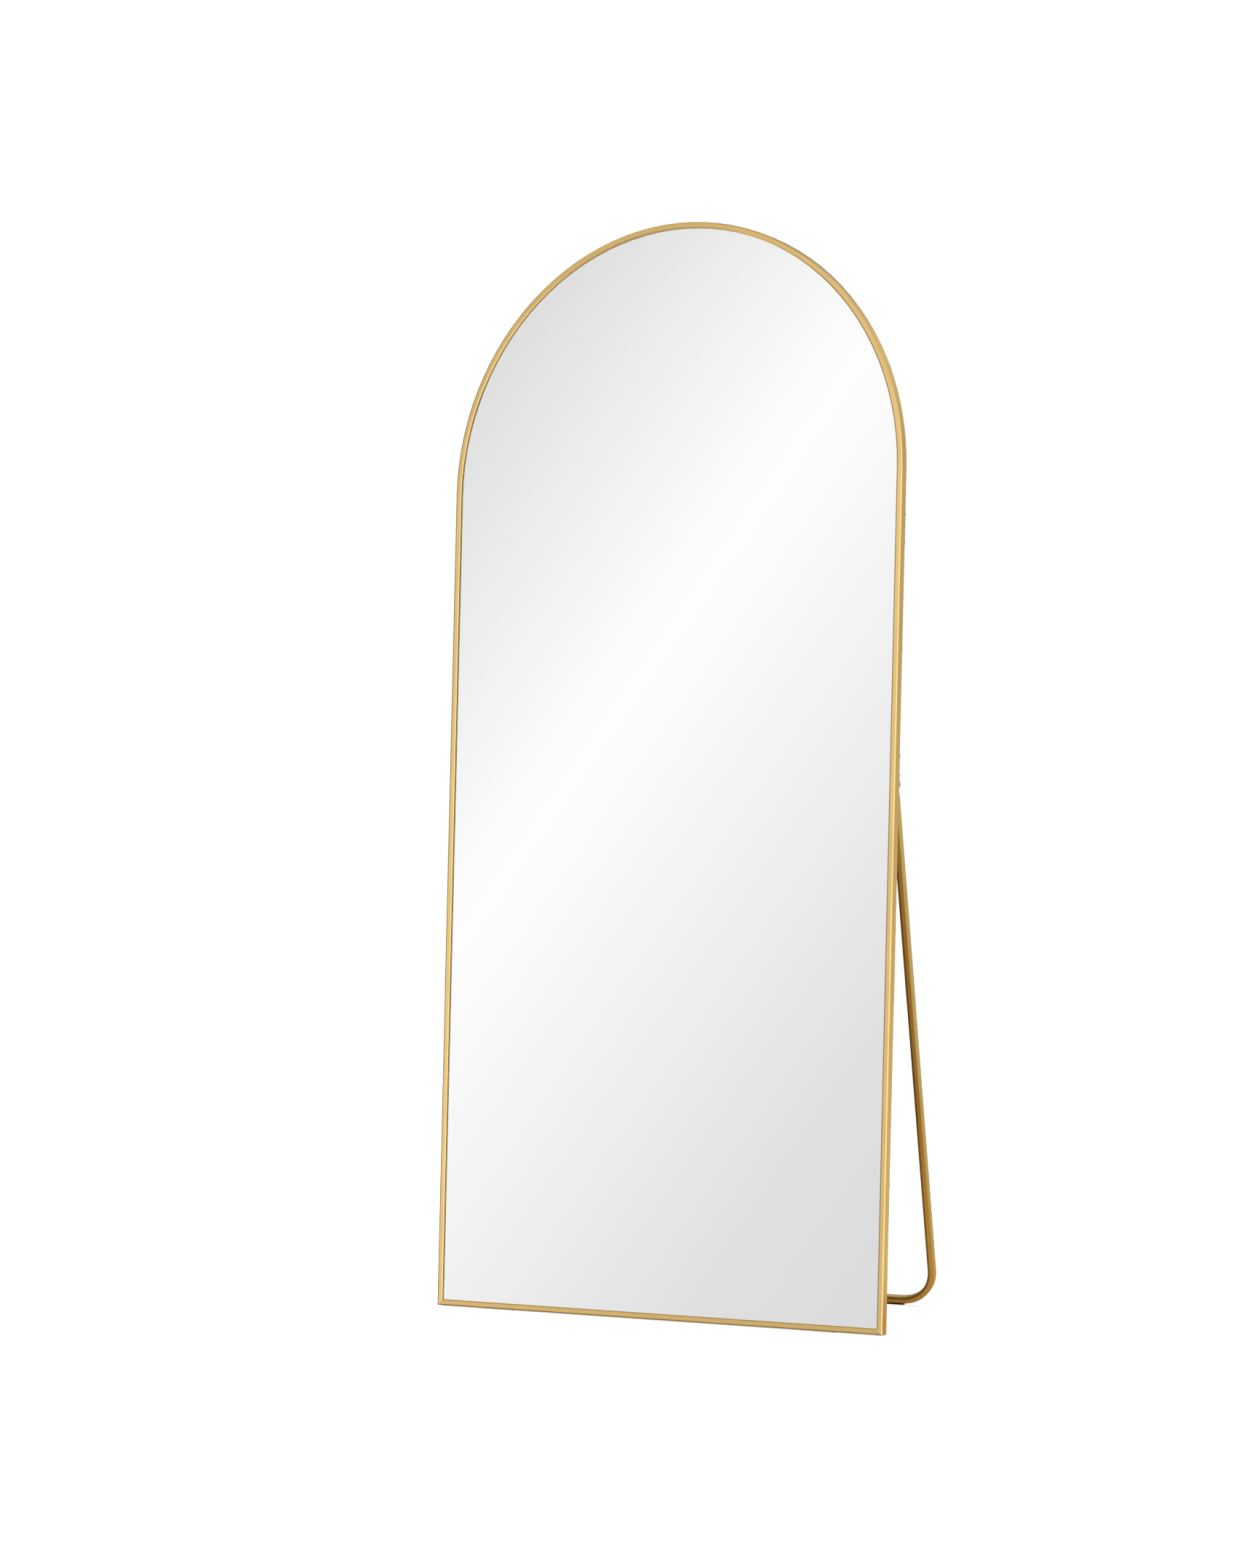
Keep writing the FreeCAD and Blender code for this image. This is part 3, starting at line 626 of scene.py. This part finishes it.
def moulded_material(name, colour, roughness, grain):
    """Moulded plastic or rubber with a fine matt grain."""
    made, tree, shader = new_material(name)
    place = object_place(tree)
    fine = noise(tree, place, scale=grain, detail=3.0, roughness=0.6)
    paler = tuple(channel * 1.25 + 0.006 for channel in colour[:3]) + (1,)
    tree.links.new(blend_colour(tree, fine, colour, paler), shader.inputs["Base Color"])
    tree.links.new(remap(tree, fine, 0.3, 0.7, roughness - 0.08, roughness + 0.08),
                   shader.inputs["Roughness"])
    tree.links.new(bump(tree, fine, distance=0.00006, strength=0.4), shader.inputs["Normal"])
    return made


washer_colour = (0.72, 0.71, 0.66, 1)
dress(["pivot_washers"],
      moulded_material("washer_nylon", washer_colour, roughness=0.45, grain=1200.0))


# ---------------------------------------------------------------- stand
# A U of 12 mm square steel tube, bent at the knees and at the floor, in the same satin gold
# lacquer as the brackets. A dark band of painted shade runs along its inner front corner.
stand_painted_shade_colour = (0.34, 0.195, 0.045, 1)
stand_tilt = math.radians(21.9)
stand_front = Vector((0, -math.cos(stand_tilt), -math.sin(stand_tilt)))
stand_up = Vector((0, -math.sin(stand_tilt), math.cos(stand_tilt)))
stand_pivot = Vector((0, -0.14908, 0.89957))      # the middle of the hinge's line
leg_at_pivot = 0.402           # from there to a leg's middle line
leg_parallel = 0.050           # straight below the pivot, before the knee
leg_taper = math.radians(6.25)
bar_drop = 0.9592              # from the pivot down the leg to the bar
foot_bend_radius = 0.066
painted_shade_from = -0.0003        # in from the tube's middle line, where the band of painted shade starts
painted_shade_full = 0.0032
bend_rise = foot_bend_radius - bar_drop
bend_side = (leg_at_pivot + (bend_rise + leg_parallel) * math.tan(leg_taper)
             - foot_bend_radius / math.cos(leg_taper))


def painted_corner_shade(tree, place):
    """Mask of a narrow band of painted shade on the stand's front, along the inner corner of its tube.
    """
    own = vector_maths(tree, "SUBTRACT", place, stand_pivot)
    side = maths(tree, "ABSOLUTE", split(tree, own)[0])
    rise = vector_maths(tree, "DOT_PRODUCT", own, stand_up)
    below_knee = maths(tree, "MINIMUM", maths(tree, "ADD", rise, leg_parallel), 0.0)
    leg_line = maths(tree, "MULTIPLY_ADD", below_knee, math.tan(leg_taper), leg_at_pivot)
    from_leg = maths(tree, "MULTIPLY", maths(tree, "SUBTRACT", leg_line, side), math.cos(leg_taper))
    from_bar = maths(tree, "ADD", rise, bar_drop)
    bend_x = maths(tree, "SUBTRACT", side, bend_side)
    bend_z = maths(tree, "SUBTRACT", rise, bend_rise)
    from_bend = maths(tree, "SUBTRACT", foot_bend_radius, slant(tree, bend_x, bend_z))
    under = maths(tree, "ADD", maths(tree, "MULTIPLY", bend_x, math.sin(leg_taper)),
                  maths(tree, "MULTIPLY", bend_z, math.cos(leg_taper)))
    in_bend = maths(tree, "MULTIPLY", maths(tree, "GREATER_THAN", bend_x, 0.0),
                    maths(tree, "LESS_THAN", under, 0.0))
    inwards = choose(tree, in_bend, maths(tree, "MINIMUM", from_leg, from_bar), from_bend)
    facing = tree.nodes.new("ShaderNodeTexCoord").outputs["Normal"]
    front = vector_maths(tree, "DOT_PRODUCT", facing, stand_front)
    return maths(tree, "MULTIPLY", remap(tree, inwards, painted_shade_from, painted_shade_full),
                 remap(tree, front, 0.10, 0.35))


dress(["stand_tube"], gold_lacquer("stand_lacquer", painted_corner_shade, stand_painted_shade_colour))


# ---------------------------------------------------------------- plugs and feet
# Black moulded plugs close the open top ends of the legs. Milky soft pads under the frame
# and black rubber ones under the bar keep metal off the floor.
plug_colour = (0.016, 0.016, 0.017, 1)
milky_colour = (0.86, 0.86, 0.84, 1)
rubber_colour = (0.010, 0.010, 0.010, 1)
dress(["tube_end_plugs"],
      moulded_material("plug_plastic", plug_colour, roughness=0.42, grain=1100.0))
dress(["frame_feet"], moulded_material("milky_pad", milky_colour, roughness=0.55, grain=900.0))
dress(["stand_feet"], moulded_material("foot_rubber", rubber_colour, roughness=0.70, grain=900.0))


# ---------------------------------------------------------------- wall plates
# Zinc-plated steel keyhole plates screwed across the uprights, for hanging the mirror on a
# wall. They are stamped from sheet and lie flat on the frame's back.
plate_colour = (0.60, 0.61, 0.60, 1)
dress(["hanger_plate_left", "hanger_plate_right"],
      metal_material("hanger_steel", plate_colour, roughness=0.34, grain=500.0, stain=0.18))


# ---------------------------------------------------------------- studio
# A plain white floor in a white room, and one soft panel above and to the left. The glass
# and the gold mirror a soft band of light across the room, and soft-edged cards, dark ones
# and bright ones, which stand outside the view.
room_level = 0.80
floor_colour = (0.93, 0.93, 0.93, 1)
floor_size = 30.0
floor_glow = 0.50              # seen by the camera only
floor_painted_shade_in_metal = (0.72, 0.55, 0.34, 1)            # painted shade: a darker, browner floor that only glass and metal see
floor_shown = 0.6              # how far from its middle glass and metal see it
floor_hidden = 1.0
panel_place = Vector((-2.6, -3.0, 5.6))
panel_size = 2.4
panel_power = 160.0
band_axis = (-0.700, 0.482, 0.527)                # the way that the band's greys change
# places along the axis, from -1 to 1, and the grey there
band_tones = ((-1.0, 0.90), (-0.50, 1.00), (-0.15, 0.70), (-0.08, 0.77), (0.025, 1.02),
              (0.10, 0.76), (0.20, 0.66), (0.55, 1.00), (1.0, 0.85))
# each card's direction, the cosines where its edge begins and where it is full, its tone
cards = (
    ((0.521, -0.853, 0.0), 0.92, 0.985, (0.03, 0.03, 0.03)),
    ((0.034, -0.999, 0.0), 0.90, 0.98, (1.30, 1.30, 1.30)),
    ((-0.970, -0.243, 0.0), 0.80, 0.93, (0.45, 0.45, 0.45)),
    ((-0.850, 0.520, 0.0), 0.30, 0.85, (0.32, 0.32, 0.32)),
    ((0.520, 0.850, 0.0), 0.30, 0.85, (0.76, 0.73, 0.58)),
    ((-0.503, -0.559, 0.659), 0.86, 0.97, (0.74, 0.74, 0.74)),
    ((0.810, -0.330, -0.490), 0.74, 0.96, (1.70, 1.70, 1.70)),
    ((0.0, 0.0, -1.0), 0.14, 0.38, (0.38, 0.38, 0.38)),
    ((0.0, 0.0, -1.0), 0.66, 0.90, (2.10, 2.10, 2.10)),
)


def card(tree, direction, side, edge, full, tone):
    """Factor that a soft-edged card on one side of the room puts on its light."""
    facing = vector_maths(tree, "DOT_PRODUCT", direction, side)
    return blend_colour(tree, remap(tree, facing, edge, full), (1, 1, 1, 1), tone + (1,))


def to_share(tree, value):
    """From -1..1 to 0..1."""
    return maths(tree, "MULTIPLY_ADD", value, 0.5, 0.5)


def in_mirrors(tree, path):
    """1 for a ray that comes off glass or metal, or through glass."""
    return maths(tree, "MAXIMUM", path["Is Glossy Ray"], path["Is Transmission Ray"])


def white_room():
    """White to the camera; to glass and metal a room with the soft band and the cards."""
    room = bpy.data.worlds.new("white_room")
    room.use_nodes = True
    tree = room.node_tree
    tree.nodes.clear()
    path = tree.nodes.new("ShaderNodeLightPath").outputs
    direction = tree.nodes.new("ShaderNodeTexCoord").outputs["Generated"]
    along = vector_maths(tree, "DOT_PRODUCT", direction, band_axis)
    ramp = node(tree, "ShaderNodeValToRGB", [to_share(tree, along)])
    stops = ramp.color_ramp.elements
    while len(stops) < len(band_tones):
        stops.new(0.5)
    for stop, (place, tone) in zip(stops, band_tones):
        stop.position = (place + 1) / 2
        stop.color = (tone, tone, tone, 1)
    seen = ramp.outputs[0]
    for side, edge, full, tone in cards:
        seen = vector_maths(tree, "MULTIPLY", seen, card(tree, direction, side, edge, full, tone))
    lit = (room_level, room_level, room_level, 1)
    colour = blend_colour(tree, in_mirrors(tree, path), lit, seen)
    colour = blend_colour(tree, path["Is Camera Ray"], colour, (1, 1, 1, 1))
    light = node(tree, "ShaderNodeBackground", [colour, 1.0])
    output = tree.nodes.new("ShaderNodeOutputWorld")
    tree.links.new(light.outputs[0], output.inputs[0])
    return room


def floor():
    """White floor that keeps a faint shadow. Glass and metal see a patch behind the frame, darker and
    browner: a painted shade.
    """
    mesh = bpy.data.meshes.new("floor")
    reach = floor_size / 2
    mesh.from_pydata([(-reach, -reach, 0), (reach, -reach, 0), (reach, reach, 0), (-reach, reach, 0)],
                     [], [(0, 1, 2, 3)])
    made = bpy.data.objects.new("floor", mesh)
    bpy.context.scene.collection.objects.link(made)
    material = bpy.data.materials.new("floor_white")
    material.use_nodes = True
    tree = material.node_tree
    tree.nodes.clear()
    path = tree.nodes.new("ShaderNodeLightPath").outputs
    glow = node(tree, "ShaderNodeEmission",
                [(1, 1, 1, 1), maths(tree, "MULTIPLY", path["Is Camera Ray"], floor_glow)]).outputs[0]
    # Painted shade: glass and metal see the floor darker and browner than the camera does.
    shade = blend_colour(tree, path["Is Glossy Ray"], floor_colour, floor_painted_shade_in_metal)
    matt = node(tree, "ShaderNodeBsdfDiffuse", [shade]).outputs[0]
    shown = node(tree, "ShaderNodeAddShader", [matt, glow]).outputs[0]
    clear = tree.nodes.new("ShaderNodeBsdfTransparent").outputs[0]
    place = object_place(tree)
    far = remap(tree, vector_maths(tree, "LENGTH", place), floor_shown, floor_hidden)
    ahead = remap(tree, split(tree, place)[1], frame_corner.y, frame_corner.y + frame_depth, 1.0, 0.0)
    hidden = maths(tree, "MULTIPLY", maths(tree, "MAXIMUM", far, ahead), in_mirrors(tree, path))
    surface = node(tree, "ShaderNodeMixShader", [hidden, shown, clear]).outputs[0]
    output = tree.nodes.new("ShaderNodeOutputMaterial")
    tree.links.new(surface, output.inputs[0])
    mesh.materials.append(material)


def soft_panel():
    light = bpy.data.lights.new("soft_panel", "AREA")
    light.size = panel_size
    light.energy = panel_power
    made = bpy.data.objects.new("soft_panel", light)
    made.location = panel_place
    middle = (cad_low + cad_high) / 2
    made.rotation_euler = (middle - panel_place).to_track_quat("-Z", "Y").to_euler()
    made.visible_glossy = False
    bpy.context.scene.collection.objects.link(made)


bpy.context.scene.world = white_room()
floor()
soft_panel()


# ---------------------------------------------------------------- camera
# Stands to the right of the mirror, 0.7 m above the floor and 31 degrees off its middle, and
# looks 2 degrees down. The lens is shifted up, so that the uprights stay nearly parallel.
photo_height = 2156            # pixels, its longer side
camera_turn = math.radians(31.431)
camera_dip = math.radians(2.001)
camera_place = Vector((3.2338, -5.5835, 0.7150))
sensor = 36.0
focal_length = 88.04
axis_drop = 322.0              # pixels from the photo's middle down to the lens's axis


def camera():
    data = bpy.data.cameras.new("camera")
    data.sensor_width = sensor
    data.lens = focal_length
    data.shift_y = axis_drop / photo_height
    made = bpy.data.objects.new("camera", data)
    made.location = camera_place
    made.rotation_euler = (math.pi / 2 - camera_dip, 0, camera_turn)
    bpy.context.scene.collection.objects.link(made)
    bpy.context.scene.camera = made


camera()
bpy.context.scene.view_settings.view_transform = "Standard"
